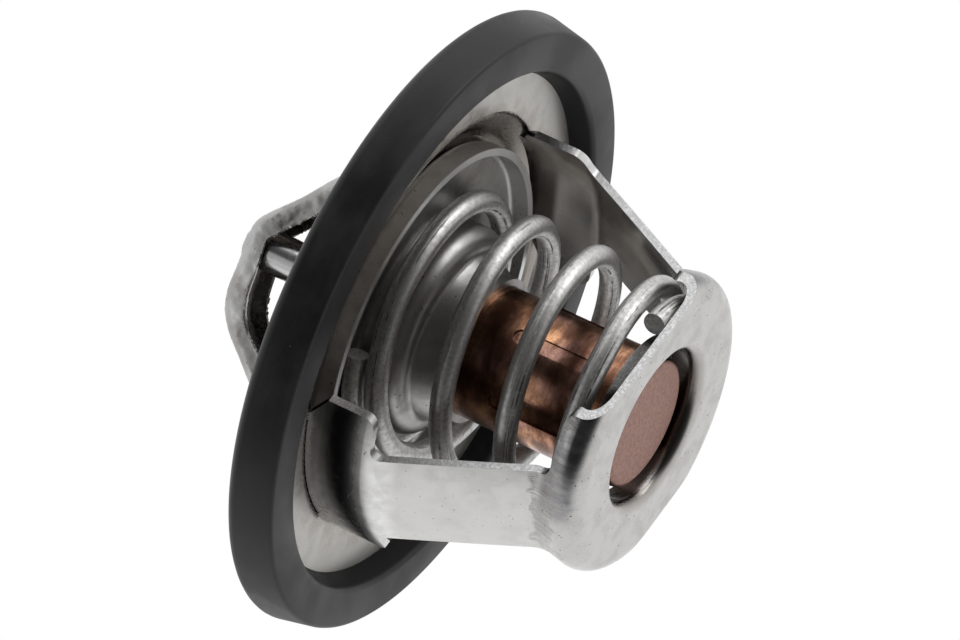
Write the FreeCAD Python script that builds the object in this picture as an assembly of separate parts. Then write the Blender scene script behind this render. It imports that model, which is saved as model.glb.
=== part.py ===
import FreeCAD, Part
import math
import os

# A wax thermostat for an engine's coolant circuit. It is held by its rubber seal
# between two castings. A spring keeps the valve disc shut against the flange plate.
# Warm coolant melts the wax, the wax squeezes the rubber boot round the piston, and
# the whole capsule slides down off the piston and takes the disc with it.
# The origin is on the valve axis, in the plane of the seal's lower face. Z points to
# the radiator side. X points to one leg of the lower bridge. Millimetres.

# Seal ring
SEAL_LOW_RADIUS = 33.5
SEAL_FLARE = 0.9
SEAL_HEIGHT = 5.2
SEAL_CHAMFER = 0.8
SEAL_FACE_WIDTH = 4.3
SEAL_LIP_LEAN = 1.0
SEAL_COVER = 1.7
SEAL_EDGE_ROUND = 0.5

# Flange plate, with the valve seat drawn up in its middle
FLANGE_SHEET = 1.0
FLANGE_LOW_FACE = 2.6
SEAT_RISE = 2.5
SEAT_OVERLAP = 2.05
SEAT_LAND = 2.7
SEAT_SLOPE_RUN = 2.8
SEAT_BEND = 1.2

# Valve disc: a pan with an upturned rim, a hat that centres the spring, and a collar
DISC_SHEET = 0.8
DISC_RADIUS = 19.85
DISC_SEAT_GAP = 0.05
RIM_DEPTH = 3.1
HAT_RADIUS = 11.7
HAT_DEPTH = 5.2
HAT_ROUND = 1.9
COLLAR_DEPTH = 9.1
CONE_DEPTH = 8.0
CONE_RADIUS = 9.4
CONE_BEND = 0.6
HAT_FOOT_BEND = 0.8
RIM_BEND = 0.5
COLLAR_FIT = 0.03

# Wax cup
CUP_RADIUS = 7.26
CUP_WALL = 0.9
CUP_LOW_FACE = -24.0
CUP_FLANGE_RADIUS = 10.5
CUP_CRIMP_RADIUS = 8.6
CUP_EDGE_ROUND = 0.9
CUP_MOUTH_BEND = 0.3
GROOVE_COUNT = 6
GROOVE_FIRST_ANGLE = 20.3
GROOVE_LENGTH = 9.0
GROOVE_WIDTH = 1.7
GROOVE_DEPTH = 0.25
GROOVE_MIDDLE = -13.7

# Guide, boot and piston
PISTON_RADIUS = 2.3
PISTON_FIT = 0.05
PISTON_HOLD = 5.35
PISTON_TIP_ROUND = 0.8
GUIDE_FLANGE = 1.2
GUIDE_STEM_RADIUS = 4.4
GUIDE_SHOULDER_RADIUS = 6.6
GUIDE_SHOULDER_RISE = 1.6
GUIDE_CONE_RISE = 3.2
GUIDE_STEM_TOP = 11.5
GUIDE_EDGE_ROUND = 0.5
BOOT_FLANGE = 0.6
BOOT_WALL = 1.2
BOOT_TOE = 1.4
INNER_PLAY = 0.03

# Spring
WIRE = 2.4
SPRING_DISC_RADIUS = 13.7
SPRING_RING_RADIUS = 12.3
SPRING_TURNS = 4.79
CLOSED_TURNS = 0.92
CLOSED_RISE = 2.0
CLOSED_WIDENING = 0.55
SPRING_STEPS_A_TURN = 24
SPRING_TIP_ANGLE = 106.3
SPRING_PLAY = 0.02
SPRING_SHIFT = 0.7

# Lower bridge: one pressing, a shallow cup with a rolled hole and two legs
BRIDGE_SHEET = 0.8
RING_LOW_FACE = -25.4
RING_HOLE_RADIUS = 8.5
RING_LIP = 3.4
RING_LIP_BEND = 1.4
RING_RADIUS = 17.2
RING_WALL_LEAN = 1.2
RING_WALL_TOP = -20.4
RING_HALF_WIDTH = 13.35
RING_SHIFT = 0.65
RING_LOWER_SHOULDER = 1.3
RING_BEND = 2.3
WALL_BEND = 1.5
LEG_INSET = 0.3
LEG_SHOULDER = -4.7
LEG_BEND = 4.0
STRIP_HALF_WIDTH = 6.5
BASE_HALF_WIDTH = 10.9
BASE_CORNER_RUN = 2.2
BASE_CORNER_RISE = 1.9
TAB_HALF_WIDTH = 8.0
TAB_FOLD_RISE = 1.3
TAB_FOLD_LENGTH = 2.6
TAB_FOLD_BEND = 0.7
TAB_END_RISE = 0.3
TAB_PLAY = 0.1
OUTLINE_ROUND = 1.2

# Upper bridge: a channel bent into an arch, with two feet on the flange plate.
# Its crown is bent a little to one side, so the two ends have their own sizes.
CROWN_TOP = 24.4
CROWN_NEAR_END = 2.6
CROWN_NEAR_BEND = 3.5
CROWN_FAR_END = 8.5
CROWN_FAR_BEND = 9.0
ARCH_SHEET = 1.0
ARCH_HALF_WIDTH = 3.3
ARCH_DEPTH = 3.2
ARCH_ROUND = 1.6
ARCH_ANGLE = 136.8
FOOT_STAND_OFF = 1.7
FOOT_SEAL_GAP = 0.8
FOOT_HALF_WIDTH = 5.0
FOOT_CORNER = 1.2
PISTON_SEAT_DEPTH = 0.4

# How far the valve opens. The piston stays this much longer in the boot when it is shut.
TRAVEL = 8.0

# Radii that follow from the sizes above
SEAL_WIDEST_RADIUS = SEAL_LOW_RADIUS + SEAL_FLARE
SEAL_LIP_RADIUS = SEAL_LOW_RADIUS - SEAL_FACE_WIDTH
SEAL_GRIP_RADIUS = SEAL_LIP_RADIUS - SEAL_LIP_LEAN
FLANGE_RADIUS = SEAL_LOW_RADIUS - SEAL_COVER
SEAT_HOLE_RADIUS = DISC_RADIUS - SEAT_OVERLAP
SEAT_FLAT_RADIUS = SEAT_HOLE_RADIUS + SEAT_LAND
SEAT_FOOT_RADIUS = SEAT_FLAT_RADIUS + SEAT_SLOPE_RUN
LEG_RADIUS = SEAT_FOOT_RADIUS - LEG_INSET
FOOT_START = SEAT_FOOT_RADIUS + FOOT_STAND_OFF
FOOT_END = SEAL_GRIP_RADIUS - FOOT_SEAL_GAP

# Heights that follow from the sizes above
FLANGE_TOP = FLANGE_LOW_FACE + FLANGE_SHEET
SEAT_LOW_FACE = FLANGE_LOW_FACE + SEAT_RISE
SEAT_TOP = SEAT_LOW_FACE + FLANGE_SHEET
DISC_TOP = SEAT_LOW_FACE - DISC_SEAT_GAP
PAN_FLOOR = DISC_TOP - DISC_SHEET
HAT_NOSE = PAN_FLOOR - HAT_DEPTH
HAT_LEDGE = HAT_NOSE + DISC_SHEET
BOOT_FLANGE_LOW = HAT_LEDGE + CUP_WALL
GUIDE_FLANGE_LOW = BOOT_FLANGE_LOW + BOOT_FLANGE
CRIMP_LOW = GUIDE_FLANGE_LOW + GUIDE_FLANGE
CROWN_UNDER = CROWN_TOP - ARCH_SHEET
PISTON_LOW_END = GUIDE_FLANGE_LOW - TRAVEL - PISTON_HOLD
GUIDE_BORE = PISTON_RADIUS + PISTON_FIT
BOOT_RADIUS = GUIDE_BORE + BOOT_WALL
BOOT_FLOOR = PISTON_LOW_END - PISTON_FIT

AXIS = FreeCAD.Vector(0, 0, 1)
ORIGIN = FreeCAD.Vector(0, 0, 0)


def rounded_wire(corners, place, closed=True):
    """Wire through (u, v, radius) corners, each rounded by an arc of its radius."""
    spots = [FreeCAD.Vector(u, v, 0) for u, v, radius in corners]
    count = len(spots)
    rounds = []
    for index, here in enumerate(spots):
        radius = corners[index][2]
        at_end = index in (0, count - 1) and not closed
        if radius <= 0 or at_end:
            rounds.append((here, here, None))
            continue
        towards_before = (spots[index - 1] - here).normalize()
        towards_after = (spots[(index + 1) % count] - here).normalize()
        half_angle = towards_before.getAngle(towards_after) / 2
        cut_back = radius / math.tan(half_angle)
        to_centre = (towards_before + towards_after).normalize()
        middle = here + to_centre * (radius / math.sin(half_angle) - radius)
        rounds.append((here + towards_before * cut_back, here + towards_after * cut_back, middle))
    edges = []
    for index, (start, end, middle) in enumerate(rounds):
        if middle is not None:
            edges.append(Part.Arc(place(start), place(middle), place(end)).toShape())
        if index == count - 1 and not closed:
            continue
        following = rounds[(index + 1) % count][0]
        if end.distanceToPoint(following) > 1e-6:
            edges.append(Part.LineSegment(place(end), place(following)).toShape())
    return Part.Wire(edges)


def upright(point):
    """Take a flat (u, v) point to the X-Z plane, as (radius, height)."""
    return FreeCAD.Vector(point.x, 0, point.y)


def turned(corners):
    """Solid of revolution from the outline of its half section."""
    section = Part.Face(rounded_wire(corners, upright))
    return section.revolve(ORIGIN, AXIS, 360)


def offset_path(path, distance):
    """The same open path, moved to its left by a distance, with its bends to match."""
    points = [FreeCAD.Vector(u, v, 0) for u, v, radius in path]
    steps = [(points[i + 1] - points[i]).normalize() for i in range(len(points) - 1)]
    lefts = [FreeCAD.Vector(-step.y, step.x, 0) for step in steps]
    moved_path = []
    for index, point in enumerate(points):
        before = max(index - 1, 0)
        after = min(index, len(steps) - 1)
        both = lefts[before] + lefts[after]
        moved = point + both * (distance / (1 + lefts[before].dot(lefts[after])))
        radius = path[index][2]
        if radius > 0:
            turns_left = steps[before].cross(steps[after]).z > 0
            radius = max(radius - distance, 0) if turns_left else radius + distance
        moved_path.append((moved.x, moved.y, radius))
    return moved_path


def sheet_outline(path, thickness):
    """Closed outline of a bent sheet: the path's own face, then the face to its left."""
    return list(path) + offset_path(path, thickness)[::-1]


def drawn(path, thickness):
    """A round drawn pressing from the path of its lower or outer face."""
    return turned(sheet_outline(path, thickness))


def cylinder(radius, low, high):
    return Part.makeCylinder(radius, high - low, FreeCAD.Vector(0, 0, low))


def seal_ring():
    """Rubber ring with a groove that grips the edge of the flange plate."""
    low_lip = (SEAL_LIP_RADIUS, 0, SEAL_EDGE_ROUND)
    top_lip = (SEAL_LIP_RADIUS, SEAL_HEIGHT, SEAL_EDGE_ROUND)
    widest_corner = (SEAL_WIDEST_RADIUS, SEAL_HEIGHT - SEAL_CHAMFER, SEAL_EDGE_ROUND)
    back_corner = (SEAL_WIDEST_RADIUS - SEAL_CHAMFER, SEAL_HEIGHT, SEAL_EDGE_ROUND)
    return turned([
        low_lip,
        (SEAL_LOW_RADIUS, 0, SEAL_EDGE_ROUND),
        widest_corner,
        back_corner,
        top_lip,
        (SEAL_GRIP_RADIUS, FLANGE_TOP, 0),
        (FLANGE_RADIUS, FLANGE_TOP, 0),
        (FLANGE_RADIUS, FLANGE_LOW_FACE, 0),
        (SEAL_GRIP_RADIUS, FLANGE_LOW_FACE, 0),
    ])


def tab_slot():
    """Arc slots in the flange plate for the tabs of the lower bridge, both sides at once."""
    outer = LEG_RADIUS + TAB_PLAY
    inner = LEG_RADIUS - BRIDGE_SHEET - TAB_PLAY
    low = FLANGE_LOW_FACE - 1
    high = SEAT_TOP + 1
    ring = cylinder(outer, low, high).cut(cylinder(inner, low, high))
    half_width = TAB_HALF_WIDTH + TAB_PLAY
    strip = Part.makeBox(4 * LEG_RADIUS, 2 * half_width, high - low,
                         FreeCAD.Vector(-2 * LEG_RADIUS, -half_width, low))
    return ring.common(strip)


def flange_path():
    """Lower face of the flange plate, from the seat's hole to the outer edge."""
    return [
        (SEAT_HOLE_RADIUS, SEAT_LOW_FACE, 0),
        (SEAT_FLAT_RADIUS, SEAT_LOW_FACE, SEAT_BEND),
        (SEAT_FOOT_RADIUS, FLANGE_LOW_FACE, SEAT_BEND),
        (FLANGE_RADIUS, FLANGE_LOW_FACE, 0),
    ]


def flange_plate():
    """Round plate with a seat drawn up in the middle, slotted for the lower bridge."""
    return drawn(flange_path(), FLANGE_SHEET).cut(tab_slot())


def valve_disc():
    """Drawn disc: collar round the cup, cone, hat, pan floor and rim, all one sheet."""
    collar_radius = CUP_RADIUS + COLLAR_FIT + DISC_SHEET
    rim_inside = DISC_RADIUS - DISC_SHEET
    return drawn([
        (collar_radius, PAN_FLOOR - COLLAR_DEPTH, 0),
        (collar_radius, PAN_FLOOR - CONE_DEPTH, CONE_BEND),
        (CONE_RADIUS, HAT_NOSE, CONE_BEND),
        (HAT_RADIUS, HAT_NOSE, HAT_ROUND),
        (HAT_RADIUS, PAN_FLOOR, HAT_FOOT_BEND),
        (rim_inside, PAN_FLOOR, RIM_BEND),
        (rim_inside, DISC_TOP - RIM_DEPTH, 0),
    ], DISC_SHEET)


def groove(angle):
    """A shallow pressed groove with round ends, cut into the cup's side."""
    half = GROOVE_WIDTH / 2
    reach = GROOVE_LENGTH / 2 - half
    base = CUP_RADIUS - GROOVE_DEPTH
    outward = FreeCAD.Vector(1, 0, 0)
    corner = FreeCAD.Vector(base, -half, GROOVE_MIDDLE - reach)
    body = Part.makeBox(CUP_WALL, GROOVE_WIDTH, 2 * reach, corner)
    for end in (-reach, reach):
        middle = FreeCAD.Vector(base, 0, GROOVE_MIDDLE + end)
        body = body.fuse(Part.makeCylinder(half, CUP_WALL, middle, outward))
    body.rotate(ORIGIN, AXIS, angle)
    return body


def wax_cup():
    """Copper cup whose wide mouth is crimped over the flange of the guide."""
    cup = drawn([
        (0, CUP_LOW_FACE, 0),
        (CUP_RADIUS, CUP_LOW_FACE, CUP_EDGE_ROUND),
        (CUP_RADIUS, HAT_LEDGE, CUP_MOUTH_BEND),
        (CUP_FLANGE_RADIUS, HAT_LEDGE, CUP_EDGE_ROUND),
        (CUP_FLANGE_RADIUS, CRIMP_LOW + CUP_WALL, CUP_EDGE_ROUND),
        (CUP_CRIMP_RADIUS, CRIMP_LOW + CUP_WALL, 0),
    ], CUP_WALL)
    for index in range(GROOVE_COUNT):
        cup = cup.cut(groove(GROOVE_FIRST_ANGLE + index * 360 / GROOVE_COUNT))
    return cup


def guide_body():
    """Turned brass guide with the bore that the piston slides in."""
    edge = CUP_FLANGE_RADIUS - CUP_WALL - INNER_PLAY
    return turned([
        (GUIDE_BORE, GUIDE_FLANGE_LOW, 0),
        (edge, GUIDE_FLANGE_LOW, 0),
        (edge, CRIMP_LOW, 0),
        (GUIDE_SHOULDER_RADIUS, CRIMP_LOW, 0),
        (GUIDE_SHOULDER_RADIUS, CRIMP_LOW + GUIDE_SHOULDER_RISE, GUIDE_EDGE_ROUND),
        (GUIDE_STEM_RADIUS, CRIMP_LOW + GUIDE_CONE_RISE, GUIDE_EDGE_ROUND),
        (GUIDE_STEM_RADIUS, GUIDE_STEM_TOP, GUIDE_EDGE_ROUND),
        (GUIDE_BORE, GUIDE_STEM_TOP, 0),
    ])


def boot_body():
    """Outer shape of the boot's thimble, with its rounded toe."""
    toe = BOOT_FLOOR - BOOT_TOE
    return turned([
        (0, toe, 0),
        (BOOT_RADIUS, toe, BOOT_WALL),
        (BOOT_RADIUS, GUIDE_FLANGE_LOW, 0),
        (0, GUIDE_FLANGE_LOW, 0),
    ])


def rubber_boot():
    """Rubber thimble round the piston, with a flange under the guide."""
    edge = CUP_FLANGE_RADIUS - CUP_WALL - INNER_PLAY
    solid_boot = boot_body().fuse(cylinder(edge, BOOT_FLANGE_LOW, GUIDE_FLANGE_LOW))
    return solid_boot.cut(cylinder(GUIDE_BORE, BOOT_FLOOR, GUIDE_FLANGE_LOW)).removeSplitter()


def wax_charge():
    """The wax that fills the cup round the boot."""
    bottom = CUP_LOW_FACE + CUP_WALL
    return cylinder(CUP_RADIUS - CUP_WALL, bottom, HAT_LEDGE).cut(boot_body())


def piston():
    """Polished rod. Its tip stands in the seat under the crown of the upper bridge."""
    top = CROWN_UNDER + PISTON_SEAT_DEPTH
    return turned([
        (0, PISTON_LOW_END, 0),
        (PISTON_RADIUS, PISTON_LOW_END, PISTON_TIP_ROUND),
        (PISTON_RADIUS, top, PISTON_TIP_ROUND),
        (0, top, 0),
    ])


def spring_height(turn):
    """Height of the wire's centre, counted in turns from the cut tip at the ring."""
    low = RING_LOW_FACE + BRIDGE_SHEET + WIRE / 2 + SPRING_PLAY
    high = PAN_FLOOR - WIRE / 2 - SPRING_PLAY
    open_turns = SPRING_TURNS - 2 * CLOSED_TURNS
    open_rise = high - low - 2 * CLOSED_RISE
    if turn <= CLOSED_TURNS:
        return low + CLOSED_RISE * turn / CLOSED_TURNS
    if turn <= CLOSED_TURNS + open_turns:
        return low + CLOSED_RISE + open_rise * (turn - CLOSED_TURNS) / open_turns
    return high - CLOSED_RISE * (SPRING_TURNS - turn) / CLOSED_TURNS


def spring_radius(turn):
    """The coil is narrower at the ring and widens fastest in the closed turn there."""
    in_closed_turn = min(turn / CLOSED_TURNS, 1)
    in_whole_coil = min(turn / (SPRING_TURNS - CLOSED_TURNS), 1)
    widening = CLOSED_WIDENING * in_closed_turn + (1 - CLOSED_WIDENING) * in_whole_coil
    return SPRING_RING_RADIUS + (SPRING_DISC_RADIUS - SPRING_RING_RADIUS) * widening


def main_spring():
    """Right-handed coil. It stands a little off the axis, within its play round the hat."""
    count = round(SPRING_TURNS * SPRING_STEPS_A_TURN)
    points = []
    for index in range(count + 1):
        turn = SPRING_TURNS * index / count
        angle = math.radians(SPRING_TIP_ANGLE + 360 * turn)
        radius = spring_radius(turn)
        across = radius * math.cos(angle)
        along = radius * math.sin(angle) + SPRING_SHIFT
        points.append(FreeCAD.Vector(across, along, spring_height(turn)))
    line = Part.BSplineCurve()
    line.interpolate(points)
    path = Part.Wire(line.toShape())
    start = points[0]
    direction = line.tangent(line.FirstParameter)[0]
    section = Part.Wire(Part.makeCircle(WIRE / 2, start, direction))
    return path.makePipeShell([section], True, True)


def bridge_half_outline(ring_edge, ring_shoulder):
    """One side of the lower bridge's outline, as (y, z, radius), from the ring up."""
    seat_slope = SEAT_RISE / SEAT_SLOPE_RUN
    base_top = FLANGE_LOW_FACE + seat_slope * LEG_INSET - TAB_PLAY
    above = SEAT_TOP + TAB_FOLD_RISE
    below = RING_LOW_FACE - 1
    return [
        (ring_edge, below, 0),
        (ring_edge, ring_shoulder, OUTLINE_ROUND),
        (STRIP_HALF_WIDTH, ring_shoulder, OUTLINE_ROUND),
        (STRIP_HALF_WIDTH, LEG_SHOULDER, OUTLINE_ROUND),
        (BASE_HALF_WIDTH, LEG_SHOULDER, OUTLINE_ROUND),
        (BASE_HALF_WIDTH, base_top - BASE_CORNER_RISE, 0),
        (BASE_HALF_WIDTH - BASE_CORNER_RUN, base_top, 0),
        (TAB_HALF_WIDTH, base_top, 0),
        (TAB_HALF_WIDTH, above, 0),
    ]


def lower_bridge_outline():
    """Front view of the lower bridge, along X, which trims the drawn shape.
    The ring was stamped a little off the middle of the legs, towards -Y."""
    half = bridge_half_outline(RING_HALF_WIDTH - RING_SHIFT, RING_WALL_TOP - RING_LOWER_SHOULDER)
    other = bridge_half_outline(RING_HALF_WIDTH + RING_SHIFT, RING_WALL_TOP)
    other_half = [(-y, z, radius) for y, z, radius in other[::-1]]
    reach = 2 * LEG_RADIUS

    def across(point):
        return FreeCAD.Vector(-reach, point.x, point.y)

    face = Part.Face(rounded_wire(half + other_half, across))
    return face.extrude(FreeCAD.Vector(2 * reach, 0, 0))


def lower_bridge():
    """Shallow cup with a rolled hole, two flared legs and the tabs folded over the flange."""
    pressing = drawn([
        (RING_HOLE_RADIUS, RING_LOW_FACE + RING_LIP, 0),
        (RING_HOLE_RADIUS, RING_LOW_FACE, RING_LIP_BEND),
        (RING_RADIUS, RING_LOW_FACE, RING_BEND),
        (RING_RADIUS - RING_WALL_LEAN, RING_WALL_TOP, WALL_BEND),
        (LEG_RADIUS, LEG_SHOULDER, LEG_BEND),
        (LEG_RADIUS, FLANGE_TOP + TAB_FOLD_RISE, TAB_FOLD_BEND),
        (LEG_RADIUS + TAB_FOLD_LENGTH, FLANGE_TOP + TAB_END_RISE, 0),
    ], BRIDGE_SHEET)
    return pressing.common(lower_bridge_outline())


def arch_path():
    """Outer face of the arch, seen from its side, from one foot over to the other."""
    rise = CROWN_TOP - FLANGE_TOP
    near_run = (FOOT_START - CROWN_NEAR_END) / rise
    far_run = (FOOT_START - CROWN_FAR_END) / rise
    below = FLANGE_LOW_FACE - ARCH_DEPTH
    drop = CROWN_TOP - below
    return [
        (CROWN_NEAR_END + near_run * drop, below, 0),
        (CROWN_NEAR_END, CROWN_TOP, CROWN_NEAR_BEND),
        (-CROWN_FAR_END, CROWN_TOP, CROWN_FAR_BEND),
        (-CROWN_FAR_END - far_run * drop, below, 0),
    ]


def arch_block(path, depth, half_width):
    """A solid band that follows the arch, to a depth under the path."""
    def across(point):
        return FreeCAD.Vector(point.x, -half_width, point.y)

    face = Part.Face(rounded_wire(sheet_outline(path, depth), across))
    return face.extrude(FreeCAD.Vector(0, 2 * half_width, 0))


def outer_edges(block):
    """The two long rows of edges on the outer face of the arch."""
    rows = []
    for side in (-ARCH_HALF_WIDTH, ARCH_HALF_WIDTH):
        def across(point):
            return FreeCAD.Vector(point.x, side, point.y)

        rows.append(rounded_wire(arch_path(), across, closed=False))
    found = []
    for edge in block.Edges:
        middle = Part.Vertex(edge.valueAt((edge.FirstParameter + edge.LastParameter) / 2))
        if min(middle.distToShape(row)[0] for row in rows) < 0.001:
            found.append(edge)
    return found


def bridge_foot(side):
    """Flat foot that is welded to the flange plate."""
    start = FOOT_START - ARCH_DEPTH
    corners = [
        (start, -ARCH_HALF_WIDTH, 0),
        (FOOT_START, -FOOT_HALF_WIDTH, FOOT_CORNER),
        (FOOT_END, -FOOT_HALF_WIDTH, FOOT_CORNER),
        (FOOT_END, FOOT_HALF_WIDTH, FOOT_CORNER),
        (FOOT_START, FOOT_HALF_WIDTH, FOOT_CORNER),
        (start, ARCH_HALF_WIDTH, 0),
    ]

    def flat(point):
        return FreeCAD.Vector(side * point.x, point.y, FLANGE_TOP)

    return Part.Face(rounded_wire(corners, flat)).extrude(FreeCAD.Vector(0, 0, ARCH_SHEET))


def space_under_flange():
    """All that lies under the upper face of the flange plate, which trims the arch."""
    top_face = offset_path(flange_path(), FLANGE_SHEET)
    below = FLANGE_LOW_FACE - 2 * ARCH_DEPTH
    reach = 2 * FLANGE_RADIUS
    middle = (0, SEAT_TOP, 0)
    rim = (reach, FLANGE_TOP, 0)
    return turned([middle] + top_face[1:3] + [rim, (reach, below, 0), (0, below, 0)])


def upper_bridge():
    """Channel-section arch over the valve, which the piston pushes against."""
    outer = arch_block(arch_path(), ARCH_DEPTH, ARCH_HALF_WIDTH)
    outer = outer.makeFillet(ARCH_ROUND, outer_edges(outer))
    hollow_path = offset_path(arch_path(), ARCH_SHEET)
    hollow = arch_block(hollow_path, ARCH_DEPTH, ARCH_HALF_WIDTH - ARCH_SHEET)
    arch = outer.cut(hollow)
    for side in (-1, 1):
        arch = arch.fuse(bridge_foot(side))
    arch = arch.cut(space_under_flange())
    seat_radius = PISTON_RADIUS + INNER_PLAY
    arch = arch.cut(cylinder(seat_radius, CROWN_UNDER - ARCH_SHEET, CROWN_UNDER + PISTON_SEAT_DEPTH))
    arch.rotate(ORIGIN, AXIS, ARCH_ANGLE)
    return arch


PIECES = {
    "seal_ring": seal_ring,
    "flange_plate": flange_plate,
    "upper_bridge": upper_bridge,
    "lower_bridge": lower_bridge,
    "valve_disc": valve_disc,
    "main_spring": main_spring,
    "wax_cup": wax_cup,
    "guide_body": guide_body,
    "rubber_boot": rubber_boot,
    "wax_charge": wax_charge,
    "piston": piston,
}


def build():
    os.makedirs("parts", exist_ok=True)
    for name, make in PIECES.items():
        shape = make()
        if shape.ShapeType != "Solid" and len(shape.Solids) == 1:
            shape = shape.Solids[0]
        shape.exportStep("parts/" + name + ".step")
        box = shape.BoundBox
        print(name, shape.ShapeType, len(shape.Solids), "valid", shape.isValid(),
              "volume", round(shape.Volume, 1),
              "z", round(box.ZMin, 2), round(box.ZMax, 2))


build()
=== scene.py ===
# %% [markdown]
# # A coolant thermostat
# A wax thermostat sits between two castings of an engine and opens a valve when the coolant
# is warm. The solids of the part are made already: pressed steel, a copper cup, a rubber
# ring. This lesson dresses them. Each step says what the thing is on the real object, how
# it could be made in Blender, and why this way was chosen. All lengths are in metres, in
# the part's own frame: the origin is on the valve axis, and Z points to the radiator side.
# Materials place their marks in millimetres, which are easier to read at this size.

# %% Load the part
import math

import bmesh
import bpy
from mathutils import Matrix, Vector


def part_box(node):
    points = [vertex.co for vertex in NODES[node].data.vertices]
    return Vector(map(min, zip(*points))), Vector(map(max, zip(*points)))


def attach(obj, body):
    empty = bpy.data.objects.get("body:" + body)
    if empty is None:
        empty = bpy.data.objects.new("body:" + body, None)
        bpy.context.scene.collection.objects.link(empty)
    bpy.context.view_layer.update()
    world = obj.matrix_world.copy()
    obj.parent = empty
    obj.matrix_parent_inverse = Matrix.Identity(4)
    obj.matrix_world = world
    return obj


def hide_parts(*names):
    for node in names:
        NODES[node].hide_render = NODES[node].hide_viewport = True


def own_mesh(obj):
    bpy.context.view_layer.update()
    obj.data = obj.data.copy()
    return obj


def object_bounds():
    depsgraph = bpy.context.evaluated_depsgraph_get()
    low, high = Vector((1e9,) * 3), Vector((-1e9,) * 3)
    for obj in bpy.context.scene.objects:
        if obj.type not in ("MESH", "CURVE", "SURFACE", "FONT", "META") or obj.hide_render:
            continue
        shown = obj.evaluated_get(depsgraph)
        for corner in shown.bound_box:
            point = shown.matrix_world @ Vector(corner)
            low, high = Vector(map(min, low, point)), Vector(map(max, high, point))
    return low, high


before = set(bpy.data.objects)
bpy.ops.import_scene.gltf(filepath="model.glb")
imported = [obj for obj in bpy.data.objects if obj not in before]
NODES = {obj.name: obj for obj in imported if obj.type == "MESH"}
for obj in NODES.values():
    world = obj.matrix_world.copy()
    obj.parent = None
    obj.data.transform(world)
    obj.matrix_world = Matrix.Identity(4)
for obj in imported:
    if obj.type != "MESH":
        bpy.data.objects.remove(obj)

MM = 0.001
CAD_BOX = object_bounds()
print("nodes:", ", ".join(sorted(NODES)))

# %% [markdown]
# ## Camera
# The picture was taken with a long lens from the engine side, a little under the flange
# plate, and the camera was rolled. A camera could be placed by eye, but a long lens shows
# every error, so its direction is written as three angles round a point that it aims at.
# The first two turn it round the part, and the roll turns the picture.

# %% Camera
AIM = Vector((-2.67, 0.65, -2.32)) * MM
VIEW_AZIMUTH = math.radians(147.54)
VIEW_ELEVATION = math.radians(-20.97)
VIEW_ROLL = math.radians(65.25)
VIEW_DISTANCE = 828.4 * MM
LENS = 300.0

towards_camera = Vector((
    math.sin(VIEW_AZIMUTH) * math.cos(VIEW_ELEVATION),
    -math.cos(VIEW_AZIMUTH) * math.cos(VIEW_ELEVATION),
    math.sin(VIEW_ELEVATION),
))
camera_turn = (-towards_camera).to_track_quat("-Z", "Y").to_matrix()
camera_turn = camera_turn @ Matrix.Rotation(-VIEW_ROLL, 3, "Z")
picture_right = camera_turn @ Vector((1, 0, 0))
picture_up = camera_turn @ Vector((0, 1, 0))
camera_place = AIM + towards_camera * VIEW_DISTANCE

bpy.ops.object.camera_add(location=camera_place, rotation=camera_turn.to_euler())
camera = bpy.context.object
camera.data.lens = LENS
camera.data.clip_start = 0.1
camera.data.clip_end = 10.0
bpy.context.scene.camera = camera
print("camera at", [round(value, 4) for value in camera_place])

# %% [markdown]
# ## Node helpers
# Every finish below is built from shader nodes. Making each node by hand takes four lines,
# so one short helper adds a node, sets its options and fills its sockets. A value goes
# straight into a socket, and another node's output is linked to it.

# %% Node helpers
def add_node(tree, kind, inputs=None, **options):
    """Add a node. Inputs map a socket's name or number to a value or to another socket."""
    made = tree.nodes.new(kind)
    for name, value in options.items():
        setattr(made, name, value)
    for key, value in (inputs or {}).items():
        if isinstance(value, bpy.types.NodeSocket):
            tree.links.new(value, made.inputs[key])
        else:
            made.inputs[key].default_value = value
    return made


def maths(tree, operation, first, second=0.5, clamp=False):
    """The output of one Math node."""
    made = add_node(tree, "ShaderNodeMath", {0: first, 1: second}, operation=operation, use_clamp=clamp)
    return made.outputs[0]


def times(tree, first, second):
    return maths(tree, "MULTIPLY", first, second)


def plus(tree, first, second, clamp=False):
    return maths(tree, "ADD", first, second, clamp)


def ramp(tree, value, low, high, start=0.0, end=1.0):
    """Map value from low..high to start..end with soft ends."""
    made = add_node(
        tree, "ShaderNodeMapRange",
        {"Value": value, "From Min": low, "From Max": high, "To Min": start, "To Max": end},
        interpolation_type="SMOOTHSTEP",
    )
    return made.outputs["Result"]


def band(tree, value, low, high, soft):
    """One between low and high, with soft ends."""
    rising = ramp(tree, value, low - soft, low + soft)
    falling = ramp(tree, value, high - soft, high + soft, 1.0, 0.0)
    return times(tree, rising, falling)


def mix_colours(tree, amount, first, second):
    """The colour output of one Mix node."""
    made = add_node(
        tree, "ShaderNodeMix", {"Factor": amount, 6: first, 7: second},
        data_type="RGBA", clamp_factor=True,
    )
    return made.outputs[2]


def mix_values(tree, amount, first, second):
    """The grey output of one Mix node."""
    made = add_node(tree, "ShaderNodeMix", {"Factor": amount, 2: first, 3: second}, clamp_factor=True)
    return made.outputs[0]


def noise(tree, vector, scale, detail=3.0, roughness=0.55):
    """The grey output of a noise texture."""
    made = add_node(
        tree, "ShaderNodeTexNoise",
        {"Vector": vector, "Scale": scale, "Detail": detail, "Roughness": roughness},
    )
    return made.outputs[0]


def bump(tree, height, distance, strength=1.0, normal=None):
    """The normal of a raised surface, on top of a normal that is bent already, if one is given."""
    sockets = {"Height": height, "Distance": distance * MM, "Strength": strength}
    if normal is not None:
        sockets["Normal"] = normal
    return add_node(tree, "ShaderNodeBump", sockets).outputs["Normal"]


print("node helpers ready")

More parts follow.
